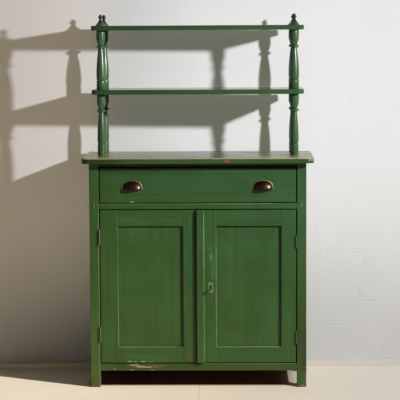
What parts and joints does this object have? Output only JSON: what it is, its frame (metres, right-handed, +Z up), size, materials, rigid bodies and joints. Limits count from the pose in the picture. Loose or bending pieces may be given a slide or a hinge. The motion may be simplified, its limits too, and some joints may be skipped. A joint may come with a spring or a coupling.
{
  "type": "kitchen dresser",
  "caption": "Painted pine kitchen dresser: a full-width drawer with cup pulls over a two-door cupboard, with an open two-tier rack on turned columns.",
  "frame": {"origin": "on the floor, under the middle of the bounding box, which is the worktop's plan", "axes": "+Z up, +Y from the drawer and doors towards the back, +X to the right as seen from the front"},
  "size_m": [0.984, 0.444, 1.588],
  "materials": {
    "green_paint": "pine under old semi-gloss green oil paint, worn through on edges",
    "bare_pine": "bare aged pine",
    "pull_iron": "cast iron under glossy dark red-brown enamel",
    "old_steel": "aged mild steel, partly painted over"
  },
  "bodies": {
    "carcase": {"worktop": "green_paint", "post_front_left": "green_paint", "post_front_right": "green_paint", "post_back_left": "green_paint", "post_back_right": "green_paint", "top_front_rail": "green_paint", "mid_front_rail": "green_paint", "bottom_front_rail": "green_paint", "back_top_rail": "bare_pine", "back_bottom_rail": "bare_pine", "side_panel_left": "green_paint", "side_panel_right": "green_paint", "back_board_left": "bare_pine", "back_board_middle": "bare_pine", "back_board_right": "bare_pine", "cupboard_floor": "bare_pine", "inner_shelf": "bare_pine", "drawer_runner_left": "bare_pine", "drawer_runner_right": "bare_pine", "left_hinge_fixed_leaves": "old_steel", "right_hinge_fixed_leaves": "old_steel", "hinge_pins": "old_steel", "lower_column_front_left": "green_paint", "lower_column_front_right": "green_paint", "lower_column_back_left": "green_paint", "lower_column_back_right": "green_paint", "middle_shelf": "green_paint", "upper_column_front_left": "green_paint", "upper_column_front_right": "green_paint", "upper_column_back_left": "green_paint", "upper_column_back_right": "green_paint", "top_shelf": "green_paint", "finial_front_left": "green_paint", "finial_front_right": "green_paint", "finial_back_left": "green_paint", "finial_back_right": "green_paint"},
    "drawer": {"drawer_front": "green_paint", "drawer_side_left": "bare_pine", "drawer_side_right": "bare_pine", "drawer_back": "bare_pine", "drawer_bottom": "bare_pine", "cup_pull_left": "pull_iron", "cup_pull_right": "pull_iron"},
    "left_door": {"left_door_hinge_stile": "green_paint", "left_door_meeting_stile": "green_paint", "left_door_top_rail": "green_paint", "left_door_bottom_rail": "green_paint", "left_door_panel": "green_paint", "left_hinge_door_leaves": "old_steel"},
    "right_door": {"right_door_hinge_stile": "green_paint", "right_door_meeting_stile": "green_paint", "right_door_top_rail": "green_paint", "right_door_bottom_rail": "green_paint", "right_door_panel": "green_paint", "meeting_strip": "green_paint", "right_hinge_door_leaves": "old_steel", "lock_case": "old_steel", "escutcheon": "old_steel"},
    "lock_key": {"key": "old_steel"},
    "bolt": {"lock_bolt": "old_steel"}
  },
  "joints": [
    {"name": "drawer_slide", "type": "slide", "parent": "carcase", "child": "drawer", "axis": [0, -1, 0], "range_m": [0, 0.27]},
    {"name": "left_door_hinge", "type": "hinge", "parent": "carcase", "child": "left_door", "pos_m": [-0.4175, -0.1834, 0.4335], "axis": [0, 0, -1], "range_deg": [0, 110]},
    {"name": "right_door_hinge", "type": "hinge", "parent": "carcase", "child": "right_door", "pos_m": [0.4175, -0.1834, 0.4335], "axis": [0, 0, 1], "range_deg": [0, 110]},
    {"name": "key_turn", "type": "hinge", "parent": "right_door", "child": "lock_key", "pos_m": [0.0535, -0.179, 0.424], "axis": [0, -1, 0], "range_deg": [0, 90]},
    {"name": "bolt_slide", "type": "slide", "parent": "right_door", "child": "bolt", "axis": [-1, 0, 0], "range_m": [0, 0.008]}
  ],
  "couplings": [
    {"joint": "key_turn", "follows": "bolt_slide", "rad_per_m": 196.35}
  ]
}
